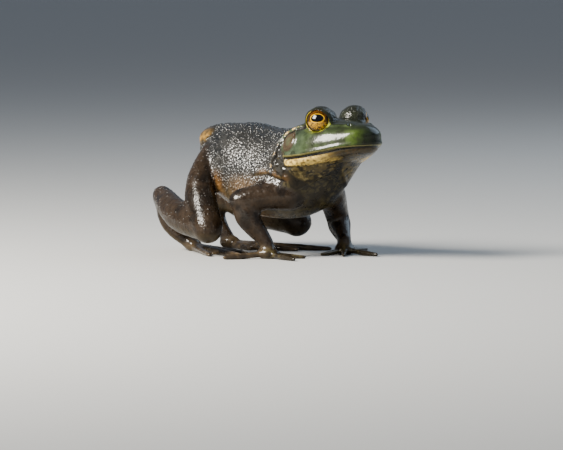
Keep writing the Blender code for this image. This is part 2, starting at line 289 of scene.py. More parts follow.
def link(name: str, data: bpy.types.ID) -> Object:
    """Puts a new object in the scene.

    Args:
        name: Its name.
        data: Its mesh, light or camera.

    Returns:
        It.
    """
    made = bpy.data.objects.new(name, data)
    bpy.context.scene.collection.objects.link(made)
    return made


def mesh_object(name: str, points: list[Vector] | list[Triple], faces: Faces) -> Object:
    """A smooth mesh object.

    Args:
        name: Its name.
        points: Its points in metres.
        faces: Its faces.

    Returns:
        The object.
    """
    mesh = bpy.data.meshes.new(name)
    mesh.from_pydata([tuple(point) for point in points], [], faces)
    mesh.shade_smooth()
    return link(name, mesh)


def apply_modifiers(made: Object) -> None:
    """Works an object's modifiers into its mesh and removes them.

    Args:
        made: The object.
    """
    graph = bpy.context.evaluated_depsgraph_get()
    mesh = bpy.data.meshes.new_from_object(made.evaluated_get(graph))
    made.modifiers.clear()
    old, made.data = made.data, mesh
    bpy.data.meshes.remove(old)


def ring_faces(rings: int, sides: int, spans: int) -> Faces:
    """Faces that join each ring of points to the next.

    Args:
        rings: How many rings there are.
        sides: Points in each.
        spans: How many joins, as many as the rings where the last one meets the first.

    Returns:
        The faces.
    """
    return [
        (i * sides + j, i * sides + (j + 1) % sides,
         (i + 1) % rings * sides + (j + 1) % sides, (i + 1) % rings * sides + j)
        for i in range(spans) for j in range(sides)
    ]


def tube(path: Array, radii: Array, sides: int = 10) -> tuple[Array, Faces]:
    """A round tube along a closed path.

    Args:
        path: Points of its middle line.
        radii: Its radius at each point.
        sides: Points around it.

    Returns:
        Its points and faces.
    """
    ahead = np.roll(path, -1, axis=0) - np.roll(path, 1, axis=0)
    ahead /= np.linalg.norm(ahead, axis=1)[:, None]
    outward = path - path.mean(axis=0)
    outward -= (outward * ahead).sum(axis=1)[:, None] * ahead
    outward /= np.linalg.norm(outward, axis=1)[:, None]
    across = np.cross(ahead, outward)
    angles = np.linspace(0, 2 * math.pi, sides, endpoint=False)[None, :, None]
    spokes = np.cos(angles) * outward[:, None] + np.sin(angles) * across[:, None]
    rings = path[:, None] + radii[:, None, None] * spokes
    return rings.reshape(-1, 3), ring_faces(len(path), sides, len(path))


@dataclass
class Surface:
    """A mesh as arrays, with what is needed to shape it, read it and store values on it."""

    made: Object
    neck: Neck
    names: tuple[str, ...]
    points: Array = field(init=False)
    normals: Array = field(init=False)
    edges: Array = field(init=False)

    def __post_init__(self) -> None:
        """Reads the mesh."""
        self.points = read(self.made.data.vertices, "co", 3).astype(float)
        self.edges = read(self.made.data.edges, "vertices", 2, np.int32)
        self.read_normals()

    def read_normals(self) -> None:
        """Reads the normal of each point."""
        self.normals = read(self.made.data.vertex_normals, "vector", 3).astype(float)

    def write(self) -> None:
        """Puts the points back into the mesh and reads its normals again."""
        self.made.data.vertices.foreach_set("co", self.points.astype(np.float32).ravel())
        self.made.data.update()
        self.read_normals()

    def spread(self, values: Array, rounds: int) -> Array:
        """Averages values with those of the neighbouring points.

        Args:
            values: One number, or one row, for each point.
            rounds: How many times.

        Returns:
            The smoothed values.
        """
        start, end = self.edges.T
        count = len(self.points)
        reach = np.bincount(start, minlength=count) + np.bincount(end, minlength=count)
        out = values.reshape(count, -1).astype(float)
        for _ in range(rounds):
            total = np.stack([
                np.bincount(start, out[end, i], count) + np.bincount(end, out[start, i], count)
                for i in range(out.shape[1])
            ], axis=1)
            out = 0.5 * out + 0.5 * total / reach[:, None]
        return out.reshape(values.shape)

    def soften(self, strength: Array, rounds: int) -> None:
        """Smooths the shape.

        Args:
            strength: Share of the full smoothing at each point.
            rounds: How many times.
        """
        for _ in range(rounds):
            self.points += strength[:, None] * (self.spread(self.points, 1) - self.points)
        self.write()

    def push(self, height: Array) -> None:
        """Moves each point out along its normal by a height in millimetres."""
        self.points += self.normals * (height * MM)[:, None]
        self.write()

    def nearest_nodes(self) -> Array:
        """Finds the CAD node nearest to each point.

        Returns:
            Its index into names.
        """
        corners, faces, owners = [], [], []
        for index, name in enumerate(self.names):
            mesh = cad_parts[name].data
            base = len(corners)
            corners += [vert.co.copy() for vert in mesh.vertices]
            faces += [[base + i for i in face.vertices] for face in mesh.polygons]
            owners += [index] * len(mesh.polygons)
        tree = BVHTree.FromPolygons(corners, faces)
        return np.array(owners)[[tree.find_nearest(Vector(point))[2] for point in self.points]]

    def straight(self) -> Array:
        """Straight position of each point, in millimetres."""
        return self.neck.straighten(self.points)

    def keep(self, **values: Array) -> None:
        """Stores values on the points.

        Args:
            values: By name, a number, a place on a flat map, or a colour for each point.
        """
        kinds = {1: ("FLOAT", "value"), 2: ("FLOAT2", "vector"), 3: ("FLOAT_COLOR", "color")}
        for name, value in values.items():
            rows = value.reshape(len(self.points), -1).astype(float)
            kind, key = kinds[rows.shape[1]]
            if kind == "FLOAT_COLOR":
                rows = np.column_stack([rows, np.ones(len(rows))])
            stored = self.made.data.attributes.new(name, kind, "POINT")
            stored.data.foreach_set(key, rows.astype(np.float32).ravel())

    def unwrap(self, owner: Array) -> Array:
        """Unrolls each node's share of the surface round the node's long axis.

        Args:
            owner: Index of the node nearest to each point.

        Returns:
            A place on a flat map for each point, with a strip of the map for each node.
        """
        sizes = np.bincount(owner, minlength=len(self.names)) / len(owner)
        starts = np.cumsum(sizes) - sizes
        flat = np.zeros((len(owner), 2))
        for index in np.unique(owner):
            chosen = owner == index
            place = self.points[chosen] - self.points[chosen].mean(axis=0)
            along, first, second = (place @ np.linalg.svd(place.T @ place)[0]).T
            turn = np.arctan2(second, first) / (2 * math.pi) + 0.5
            flat[chosen, 0] = starts[index] + sizes[index] * (0.02 + 0.96 * turn)
            flat[chosen, 1] = 0.01 + 0.98 * (along - along.min()) / np.ptp(along)
        return flat


def from_line(points: Array, line: list[Triple], depth: float = 1.0) -> tuple[Array, Array]:
    """Distance of points from a broken line.

    Args:
        points: The points.
        line: Corners of the line.
        depth: How much distance across the body counts.

    Returns:
        The distance, and the share of the line's length at which the nearest point lies.
    """
    points, corners = points * [1.0, depth, 1.0], np.asarray(line, float) * [1.0, depth, 1.0]
    spans = np.linalg.norm(np.diff(corners, axis=0), axis=1)
    starts = np.concatenate([[0.0], np.cumsum(spans)])
    best, share = np.full(len(points), np.inf), np.zeros(len(points))
    for i, span in enumerate(spans):
        way = (corners[i + 1] - corners[i]) / span
        along = np.clip((points - corners[i]) @ way, 0.0, span)
        away = np.linalg.norm(points - corners[i] - along[:, None] * way, axis=1)
        nearer = away < best
        best = np.where(nearer, away, best)
        share = np.where(nearer, (starts[i] + along) / starts[-1], share)
    return best, share


def mouth_height(x: Array) -> Array:
    """Height of the closed mouth's line on the straight frog, at each station."""
    return np.interp(x, [27.1, 34, 43, 54, 63, 70, 80], [54.5, 55.1, 56.3, 58.5, 60.8, 61.8, 62.6])


EAR = (29.6, 22.6, 64.0)
NOSTRIL = (63.4, 6.8, 73.0)
RUMP = (-51.0, 8.5, 63.5)
BEHIND_EAR = (25.6, 19.6, 67.2)
SNOUT_SIDE = (69.0, 8.0, 69.5)
EAR_FOLD = [(41, 17.6, 73.4), (35, 16.6, 72.4), (29.8, 16.4, 70.8), (24, 17.6, 68), (21.2, 19.6, 64.5),
            (19.2, 21.6, 60.5), (17.8, 23.2, 56.4), (15.2, 24, 52), (13.6, 24.2, 47.5)]
JAW_EDGE = [(27, 19, 38), (30, 16, 39), (34, 12.4, 41.5), (39, 7.6, 45.4), (44, 2.6, 48.8), (50, 0.8, 52.4),
            (58, 0.4, 55.6), (66, 0.2, 58.6)]
CANTHUS = [(51.5, 14.2, 73.6), (56, 11.4, 73.6), (60.5, 8.8, 73.6), (64.5, 6.6, 72.6)]
SHOULDER_FOLD = [(-3, 25.6, 45), (4, 25.2, 46.5), (11, 24.2, 47), (19, 23.6, 45.5), (27, 22, 44)]
EAR_GROOVE = (-1.5, 0.0, 1.2)  # what brings the groove beside a fold onto the fold's line
SHOULDER_GROOVE = (0.0, 0.0, 2.0)
ACROSS = 0.4  # how much distance across the body counts, near a fold


@dataclass(frozen=True)
class Crease:
    """A ridge along a line, or a groove where its height is negative."""

    line: list[Triple]
    height: float
    width: float
    start: tuple[float, float] = (0.0, 0.15)  # shares of the line over which it rises
    end: tuple[float, float] = (1.0, 0.8)  # shares over which it falls, from its end back
    shift: Triple = (0.0, 0.0, 0.0)
    across: float = ACROSS

    def heights(self, pair: Array) -> Array:
        """Its height at each place."""
        away, share = from_line(pair + self.shift, self.line, self.across)
        return self.height * bell(away, self.width) * step(share, *self.start) * step(share, *self.end)


CREASES = (
    Crease(EAR_FOLD, 1.1, 0.95, start=(0.0, 0.12)),
    Crease(EAR_FOLD, -1.1, 0.75, (0.02, 0.15), (0.9, 0.75), EAR_GROOVE),
    Crease(CANTHUS, 0.55, 1.3, start=(0.0, 0.2), across=1.0),
    Crease(JAW_EDGE, 0.6, 1.5, (0.0, 0.1), (0.55, 0.4), across=1.0),
    Crease(SHOULDER_FOLD, 0.6, 1.4),
    Crease(SHOULDER_FOLD, -0.9, 0.9, shift=SHOULDER_GROOVE),
)


@dataclass
class Places:
    """Where a surface's points lie on the straight frog, with its sides folded together."""

    surface: Surface
    owner: Array  # index of the node nearest to each point
    pair: Array = field(init=False)
    x: Array = field(init=False)
    z: Array = field(init=False)
    up: Array = field(init=False)  # how far the skin faces up, -1 to 1
    spots: Array = field(init=False)  # in the frame, so that the two sides' patterns differ
    rise: Array = field(init=False)  # height above the mouth
    eye: Array = field(init=False)  # distance from the eye's centre
    ear: Array = field(init=False)
    nose: Array = field(init=False)

    def __post_init__(self) -> None:
        """Works them out."""
        self.x, y, self.z = self.surface.straight().T
        self.pair = np.column_stack([self.x, np.abs(y), self.z])
        self.up, self.spots = self.surface.normals[:, 2], self.surface.points / MM
        self.rise = self.z - mouth_height(self.x)
        self.eye = off(self.pair, EyeSeat(1).centre)
        self.ear = off(self.pair, EAR, (0.95, 0.6, 0.9))
        self.nose = off(self.pair, NOSTRIL, (0.8, 1.0, 1.5))

    def rump(self) -> tuple[Array, Array]:
        """Distance from the gold lobe at the end of the rump, and from that lobe's uneven edge."""
        lobe = off(self.pair, RUMP, (0.62, 0.9, 1.0))
        return lobe, lobe - 6.6 - 1.1 * noise(self.spots, 4.0, 41)

    def speckle(self, size: float, seed: int, octaves: int, start: float, end: float) -> Array:
        """Share of each place that lies in a speckle of a random field, with edges from start to end."""
        return step(noise(self.spots, size, seed, octaves), start, end)


@dataclass
class Relief(Places):
    """The skin's finer shapes."""

    rounds: int = 90  # of smoothing

    def soften(self) -> None:
        """Smooths the shape: little on digits and lids, much on the trunk."""
        amounts = {"foot": 0.15, "palm": 0.35, "finger": 0.12, "tarsus": 0.8, "head": 0.8, "eardrum": 0.5}
        table = np.array([amounts.get(name.split("_")[0], 1.0) for name in self.surface.names])
        strength = table[self.owner] * (0.15 + 0.85 * step(self.eye, 8.7, 12))
        self.surface.soften(self.surface.spread(strength, 6), self.rounds)

    def carve(self) -> None:
        """Presses lips, folds, nostrils, eardrums and wrinkles into the shape."""
        x, z, up, rise = self.x, self.z, self.up, self.rise
        gape = step(x, 70, 40)
        height = step(x, 25.5, 30) * (self.eye > 9.0) * (
            -1.25 * bell(rise + 0.1 + 0.25 * gape, 0.55 + 0.35 * gape) + 0.6 * bell(rise - 1.6, 1.1)
            + 0.5 * bell(rise + 2.4, 1.5) - 0.35 * bell(rise + 5.2, 0.9)
        )
        height += sum(crease.heights(self.pair) for crease in CREASES)
        height += 0.3 * bell(self.ear - 5.6, 0.7) - 0.45 * bell(self.ear - 4.7, 0.6) + 0.3 * bell(self.ear, 1.6)
        height += 0.3 * bell(self.nose - 1.5, 0.8) - 1.3 * bell(self.nose, 0.6)
        corner = step(x, 20, 22.5) * step(x, 30, 27) * step(z, 42, 46) * step(z, 58, 55)
        height += 0.7 * corner * self.speckle(2.2, 29, 1, -0.1, 0.7)
        rump, edge = self.rump()
        height += 1.3 * bell(rump, 4.6) - 0.8 * bell(edge, 0.8) * step(x, -50, -44)
        height += 0.8 * step(x, 61, 70) * step(z, 63, 71) * step(up, 0, 0.5)
        height -= 0.7 * bell(x - 17, 9) * step(up, 0.6, 0.9)
        height -= 0.55 * step(self.eye, 10.5, 9.6) * step(z, 78.5, 82) * step(up, 0.2, 0.8)
        small = [name.startswith(("finger", "foot", "palm")) for name in self.surface.names]
        rough = np.where(np.array(small)[self.owner], 0.05, 0.15 - 0.1 * step(x, 14, 28))
        height += step(self.eye, 8, 11) * rough * noise(self.spots, 4.5, 3)
        self.surface.push(height)


@dataclass
class Markings(Places):
    """The skin's colours, laid one over another, its lines, and where the granules grow."""

    words: Array = field(init=False)
    tint: Array = field(init=False)
    blotch: Array = field(init=False)
    fine: Array = field(init=False)
    legs: Array = field(init=False)
    arms: Array = field(init=False)
    digits: Array = field(init=False)
    skull: Array = field(init=False)

    def __post_init__(self) -> None:
        """Finds the parts, and starts with dark grey all over."""
        super().__post_init__()
        self.words = np.array([name.split("_")[0] for name in self.surface.names])[self.owner]
        self.tint = np.tile(srgb(50, 48, 44), (len(self.x), 1))
        self.blotch, self.fine = noise(self.spots, 8.0, 11), noise(self.spots, 2.6, 12)
        self.legs, self.arms = self.part("thigh", "shank", "tarsus"), self.part("upper", "forearm")
        self.digits = self.part("foot", "palm", "finger", rounds=8)
        self.skull = self.part("head", "eardrum", "lower", rounds=4)

    def part(self, *words: str, rounds: int = 12) -> Array:
        """Share of each place that belongs to nodes whose names start with these words, with a soft edge."""
        return self.surface.spread(np.isin(self.words, words).astype(float), rounds)

    def lay(self, colour: tuple[int, int, int], share: Array) -> None:
        """Lays a screen colour over what is there."""
        self.tint += (srgb(*colour) - self.tint) * np.clip(share, 0.0, 1.0)[:, None]

    def body(self) -> Array:
        """Paints back, limbs, digits and belly.

        Returns:
            The share of each place that is belly.
        """
        blotch, fine, digits, limbs = self.blotch, self.fine, self.digits, self.legs + self.arms
        self.lay((25, 25, 24), 0.8 * step(blotch, 0, 0.4))
        self.lay((84, 71, 52), 0.6 * step(self.z, 44, 30) * (1 - self.skull))
        self.lay((48, 36, 24), 0.95 * limbs)
        self.lay((25, 19, 13), 0.8 * limbs * step(blotch + 0.3 * fine, 0, 0.4))
        self.lay((82, 68, 49), digits)
        self.lay((42, 33, 24), 0.8 * digits * step(fine, -0.1, 0.4))
        belly = step(self.up, -0.15, -0.6) * (1 - digits) * (1 - 0.7 * self.legs) * (1 - self.arms)
        worm = np.abs(noise(self.spots, 3.4, 13, 1)) + 0.15 * fine
        # Painted shade: the belly's own pale colour laid much darker on the downward-facing skin; the dark worm
        # pattern laid next is its own.
        self.lay((104, 92, 66), 0.85 * belly)
        self.lay((42, 34, 24), 0.85 * belly * step(worm, 0.36, 0.16))
        return belly

    def throat(self) -> tuple[Array, Array, Array]:
        """Paints breast, throat and chin.

        Returns:
            The shares of each place that are below the mouth, breast or throat, and chin.
        """
        x, fine = self.x, self.fine
        keel = np.interp(x, [27, 30, 34, 39, 44, 50], [19, 16, 12.4, 7.6, 2.6, 0.5])
        breast = step(x, 8, 22) * step(self.z, 56, 50) * (1 - self.arms) ** 2
        throat = breast * np.maximum(step(x, 29, 27), step(self.pair[:, 1] - keel, 1, -0.8))
        # Painted shade: breast and throat laid near-black brown in place of their own paler colour, for the shade
        # under the head and body; the pale vermiculation laid next is their own pattern.
        self.lay((33, 27, 15), 0.9 * breast)
        pale = step(np.abs(noise(self.spots, 2.4, 37)), 0.22, 0.42) * step(self.blotch, -0.5, 0.1)
        self.lay((96, 86, 54), 0.6 * throat * pale)
        below = step(x, 25.5, 28.5) * step(self.rise, 0.2, -0.2)
        chin = self.skull * below * (1 - throat)
        self.lay((106, 90, 48), chin * (1 - 0.4 * step(x, 44, 58)))
        self.lay((30, 24, 13), 0.9 * chin * step(fine, -0.1, 0.3))
        self.lay((200, 178, 116), 0.5 * chin * self.speckle(1.5, 17, 3, 0.15, 0.6) * step(x, 56, 36))
        return below, breast, chin

    def face(self, below: Array) -> tuple[Array, Array]:
        """Paints the green of the head, and behind the mouth's corner.

        Args:
            below: The share of each place that is below the mouth.

        Returns:
            The shares of each place that are green, and behind the corner.
        """
        x, z, skull, blotch = self.x, self.z, self.skull, self.blotch
        green = step(x + 0.35 * (z - 64) + 2.5 * blotch, 12, 27) * np.maximum(skull, 0.6 * step(z, 60, 66))
        green = np.maximum(green, skull * step(z, 54, 58)) * (1 - below)
        green *= 1 - step(x, 29, 26.5) * step(z, 59, 56.5)
        self.lay((70, 88, 42), green)
        self.lay((86, 102, 76), 0.8 * green * step(x, 48, 36) * step(z, 73, 68))
        self.lay((98, 124, 42), 0.9 * green * bell(off(self.pair, SNOUT_SIDE), 6))
        self.lay((36, 40, 27), 0.9 * green * step(self.up, 0.45, 0.85))
        # Darker front of the snout: partly its own darker tip, partly painted shade on the front, which faces away
        # from the light.
        self.lay((26, 32, 21), 0.85 * green * step(x, 69.5, 74))
        self.lay((44, 46, 28), 0.6 * green * step(blotch + 0.5 * self.fine, 0.25, 0.6))
        corner = skull * step(x, 29, 27) * step(z, 60, 57)
        self.lay((74, 64, 40), corner)
        self.lay((150, 136, 92), 0.8 * corner * self.speckle(2.2, 29, 1, 0.1, 0.7))
        return green, corner

    def eyes(self) -> dict[str, Array]:
        """Paints the domes over the eyes.

        Returns:
            The share of each place that is dome, and where it lies round the eye.
        """
        lid, forward, above, margin = EyeSeat(1).around(self.pair)
        dome = step(self.eye, 10.8, 9.6)
        self.lay((40, 41, 26), 0.9 * dome * step(above, -0.5, 0.2))
        self.lay((96, 108, 40), 0.6 * dome * step(above, -0.3, -0.7))
        self.lay((26, 26, 18), 0.7 * dome * step(lid, 1.2, 0.2) * step(above, -0.2, 0.3))
        return {"dome": dome, "lid": lid, "margin": margin, "forward": forward, "above": above}

    def folds(self) -> dict[str, Array]:
        """Paints eardrum, folds and nostril.

        Returns:
            The distance of each place from the folds' ridges, where the material paints a highlight, and from their
            grooves, where it paints shade.
        """
        pair, fine, far = self.pair, self.fine, 9.0
        self.lay((98, 78, 56), 0.9 * step(self.ear, 5.5, 4.7))
        self.lay((96, 98, 70), 0.8 * step(self.ear + 0.8 * fine, 3, 1.6))
        self.lay((60, 50, 34), 0.6 * bell(self.ear - 4.9, 0.5))
        away, share = from_line(pair, EAR_FOLD, ACROSS)
        ridge = away + far * step(share, 0.25, 0.08)
        self.lay((60, 58, 36), 0.9 * bell(away, 1.2) * step(share, 0.3, 0.1))
        away, share = from_line(pair + EAR_GROOVE, EAR_FOLD, ACROSS)
        groove = away - 0.25 + far * step(share, 0.06, 0)
        self.lay((120, 34, 22), 0.8 * bell(off(pair, BEHIND_EAR), 0.9))
        away, share = from_line(pair, SHOULDER_FOLD, ACROSS)
        ridge = np.minimum(ridge, away + 0.5 + far * step(share, 0.2, 0.05) + far * self.arms)
        tan = bell(away, 1.8) * step(share, 0.1, 0.3) * (1 - self.arms) * step(fine, -0.4, 0.2)
        self.lay((150, 108, 60), 0.35 * tan)
        away, share = from_line(pair + SHOULDER_GROOVE, SHOULDER_FOLD, ACROSS)
        groove = np.minimum(groove, away + 0.15 + 0.4 * fine + far * step(share, 0.3, 0.1))
        # Painted shade inside the nostril's opening.
        self.lay((14, 13, 10), bell(self.nose, 0.8))
        back = far * step(self.up, 0.75, 0.95)
        return {"ridge": ridge + back, "groove": groove + back}

    def rear(self, trunk: Array) -> Array:
        """Darkens all of it, as wet skin is, and paints the gold of rump, groin and flank over that.

        Args:
            trunk: The share of each place that is trunk.

        Returns:
            The distance of each place from the edge of the rump's gold lobe.
        """
        x, z, up, fine = self.x, self.z, self.up, self.fine
        wet = 0.55 - 0.13 * self.skull - 0.18 * step(up, 0.5, 0.9) * trunk
        self.tint *= (wet + 0.1 * (self.legs + self.arms) + 0.25 * self.digits)[:, None]
        edge = self.rump()[1]
        self.lay((26, 24, 17), 0.8 * step(edge, 2.5, 0.5))
        gold = step(edge, 0.6, -2) * (1 - 0.75 * step(up, 0.4, 0.85)) * (0.45 + 0.55 * step(fine, -0.4, 0.3))
        self.lay((146, 110, 46), 0.95 * gold)
        # Painted shade: dark olive over the gold lobe's lower part, with a mottled edge.
        self.lay((40, 34, 18), 0.9 * step(edge, 0.3, -1.2) * step(z + 4 * fine, 65, 60))
        groin = self.part("trunk", rounds=2) * step(x, -20, -32) * step(z, 49, 36)
        self.lay((150, 104, 50), 0.65 * groin * (0.7 + 0.3 * step(fine, -0.3, 0.3)))
        self.lay((130, 100, 66), 0.4 * trunk * step(x, -24, -8) * step(x, 10, -6) * step(z, 47, 38))
        return edge

    def lips(self) -> dict[str, Array]:
        """Works out the lip and the mouth's line.

        Returns:
            The lip's colour, how far each place is inside the lip, and how far it is above the line.
        """
        x, rise = self.x, self.rise
        # Towards the snout the cream fades to dark olive: partly the lip's own colour, partly painted shade on the
        # front, which faces away from the light.
        lip, fade = np.tile(srgb(208, 176, 92), (len(x), 1)), (0.98 * step(x, 48, 61))[:, None]
        lip += (srgb(38, 32, 17) - lip) * fade
        lip += (srgb(84, 60, 28) - lip) * (0.8 * self.speckle(1.5, 19, 3, 0.1, 0.45))[:, None] * (1 - 0.6 * fade)
        band = np.interp(x, [27, 34, 43, 54, 63, 72], [3.9, 4.5, 4.6, 4.2, 3.4, 2.7])
        cream = np.minimum(rise + band, np.minimum(-rise - 0.5, 0.7 * (x - 28)))
        bite = rise / np.interp(x, [27, 50, 74], [1.05, 0.95, 0.6])
        head = self.skull > 0.4
        return {"lip": lip, "cream": np.where(head, cream, -9.0),
                "bite": np.where((x > 26) & head & (self.eye > 9.4), bite, 9.0)}

    def paint(self) -> None:
        """Stores colours, lines, grain, wetness and the granules' shares on the surface."""
        x, up, limbs = self.x, self.up, self.legs + self.arms
        belly = self.body()
        below, breast, chin = self.throat()
        green, corner = self.face(below)
        lines = self.eyes()
        dome = lines.pop("dome")
        lines |= self.folds()
        trunk, thigh = self.part("trunk"), self.part("thigh")
        edge = self.rear(trunk)
        lines |= self.lips()
        smooth = self.digits + 0.7 * self.arms + 0.62 * self.legs + 0.9 * step(self.ear, 6.5, 5.5)
        smooth += 0.92 * green * step(x, 30, 36) + 0.93 * np.maximum(np.maximum(breast, chin), belly) - 0.6 * dome
        wet = (0.04 + 0.96 * step(up, -0.35, 0.15)) * (1 - 0.4 * np.clip(limbs + self.digits, 0.0, 1.0))
        wet *= (1 - 0.5 * thigh) * (1 - 0.35 * green)
        flank = trunk * (1 - step(up, -0.1, -0.5)) * (1 - step(x, 17, 21))
        flank *= step(edge, -0.3, 0.6) * (1 - 0.45 * step(up, 0.5, 0.85))
        limb = 0.4 * self.part("thigh", "shank") * (1 - step(up, 0, -0.5))
        patches = 0.5 + 0.5 * self.speckle(11.0, 23, 2, -0.5, 0.0)
        crown = self.skull * np.maximum(dome * step(lines["lid"], 1.5, 3), 0.6 * step(up, 0.6, 0.9) * step(x, 54, 46))
        self.surface.keep(
            tint=self.tint, grain=np.clip(1.0 - smooth, 0.03, 1.0), wet=wet, flank=flank * patches,
            limb=limb * patches, crown=crown + corner, map=self.surface.unwrap(self.owner), **lines)


@dataclass
class Skin:
    """One skin over all the flesh, carved and painted."""

    neck: Neck
    names: tuple[str, ...]
    voxel: float = 0.45
    grow: float = 0.3  # how far the solids grow before they are joined
    ear_grow: float = 0.25
    refill: float = 0.12  # what smoothing takes off
    most_triangles: int = 192_000
    levels: int = 8  # steps of detail from body to head
    head_base: float = 0.036  # height in metres above which the head keeps more triangles
    lid_points: int = 72
    rim: float = 7.65  # distance of the lower lid's rim from the eye's centre
    rim_rise: float = 0.5  # how much further the upper lid's rim is
    brow: float = 8.4  # distance of the brow's top from the eye's centre

    def lids(self, eye: EyeSeat) -> list[tuple[Array, Faces]]:
        """The brow and lids round one eyeball.

        Args:
            eye: Where the eye sits.

        Returns:
            A thin cup that holds the eyeball, and the fold below the lower lid, each as points and faces.
        """
        gaze, front, up = (np.array(axis) for axis in eye.axes(eye.lids))
        around = np.linspace(0.0, 2 * math.pi, self.lid_points, endpoint=False)
        spoke = np.cos(around)[:, None] * front + np.sin(around)[:, None] * up
        high = step(np.sin(around), -1, 1)

        def place(polar: Array, far: Array) -> Array:
            """Points at an angle from the gaze and a distance from the eye's centre."""
            return np.array(eye.middle()) + far[:, None] * (
                np.cos(polar)[:, None] * gaze + np.sin(polar)[:, None] * spoke)

        edge = eye.edge(np.cos(around), np.sin(around))
        lip = self.rim + self.rim_rise * high
        inside = np.full_like(lip, eye.radius + 0.1)
        rest = math.pi - 0.02 - edge
        profile = [(edge + 0.02, inside), (edge - 0.03, 0.5 * (inside + lip)), (edge + 0.02, lip - 0.08),
                   (edge + 0.12, lip + 0.05)]
        profile += [(edge + rest * share, self.brow + (lip - self.brow) * (1 - share) ** 6)
                    for share in (0.18, 0.3, 0.42, 0.55, 0.7, 0.85, 1.0)]
        profile += [(edge + rest * share, inside) for share in (1.0, 0.7, 0.4, 0.15)]
        rows = [place(polar, far) for polar, far in profile]
        cup = np.concatenate(rows), ring_faces(len(rows), len(around), len(rows))
        return [cup, tube(place(edge + 0.3, lip + 0.45), 0.7 - 0.3 * high)]

    def rough_shape(self) -> Object:
        """Grows all the flesh nodes, the lids and the brows together.

        Returns:
            One closed shell.
        """
        grid = bmesh.new()
        for name in self.names:
            part = bmesh.new()
            part.from_mesh(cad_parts[name].data)
            bmesh.ops.remove_doubles(part, verts=part.verts, dist=1e-6)
            part.normal_update()
            grow = self.grow + (self.ear_grow if name.startswith("eardrum") else 0.0)
            for vert in part.verts:
                vert.co += vert.normal * grow * MM
            shell = bpy.data.meshes.new("shell")
            part.to_mesh(shell)
            part.free()
            grid.from_mesh(shell)
            bpy.data.meshes.remove(shell)
        turn = self.neck.head_matrix()
        for side in (-1, 1):
            for points, faces in self.lids(EyeSeat(side)):
                verts = [grid.verts.new(turn @ (Vector(point) * MM)) for point in points]
                for face in faces:
                    grid.faces.new([verts[i] for i in face])
        mesh = bpy.data.meshes.new("skin")
        grid.to_mesh(mesh)
        grid.free()
        made = link("skin", mesh)
        remesh = made.modifiers.new("remesh", "REMESH")
        remesh.mode, remesh.voxel_size = "VOXEL", self.voxel * MM
        apply_modifiers(made)
        return made

    def thin_out(self, made: Object, surface: Surface) -> None:
        """Brings the mesh down to its number of triangles, and keeps more of them on the head.

        Args:
            made: The skin's object.
            surface: Its surface.
        """
        detail = made.vertex_groups.new(name="detail")
        head = step(surface.straight()[:, 0], 10, 30) * (surface.points[:, 2] > self.head_base)
        chosen = ((1.0 - 0.75 * head) * (self.levels - 0.001)).astype(int)
        for level in np.unique(chosen):
            detail.add(np.nonzero(chosen == level)[0].tolist(), (level + 0.5) / self.levels, "REPLACE")
        decimate = made.modifiers.new("decimate", "DECIMATE")
        decimate.ratio = self.most_triangles / sum(len(face.vertices) - 2 for face in made.data.polygons)
        decimate.vertex_group, decimate.vertex_group_factor = detail.name, 1.0
        made.modifiers.new("triangulate", "TRIANGULATE").quad_method = "BEAUTY"
        apply_modifiers(made)
        made.vertex_groups.clear()
        made.data.shade_smooth()

    def build(self) -> Object:
        """Makes the skin, with its markings stored on it.

        Returns:
            The object.
        """
        made = self.rough_shape()
        surface = Surface(made, self.neck, self.names)
        LOG.info("skin: %d points after the remesh", len(surface.points))
        owner = surface.nearest_nodes()
        Relief(surface, owner).soften()
        surface.push(np.full(len(surface.points), self.refill - self.grow))
        Relief(surface, owner).carve()
        self.thin_out(made, surface)
        surface = Surface(made, self.neck, self.names)
        surface.points[:, 2] = np.maximum(surface.points[:, 2], 0.0)
        surface.write()
        LOG.info("skin: %d triangles", len(made.data.polygons))
        Markings(surface, surface.nearest_nodes()).paint()
        return made


def add_node(tree: bpy.types.NodeTree, kind: str, inputs: dict[str | int, Input] | None = None,
             **settings: object) -> bpy.types.Node:
    """Adds a node to a tree.

    Args:
        tree: The tree.
        kind: The node's type.
        inputs: Sockets or values for its inputs, by name or number.
        settings: Its own properties.

    Returns:
        The node.
    """
    made = tree.nodes.new(kind)
    for key, value in settings.items():
        setattr(made, key, value)
    for key, value in (inputs or {}).items():
        if isinstance(value, Socket):
            tree.links.new(value, made.inputs[key])
        else:
            made.inputs[key].default_value = value
    return made


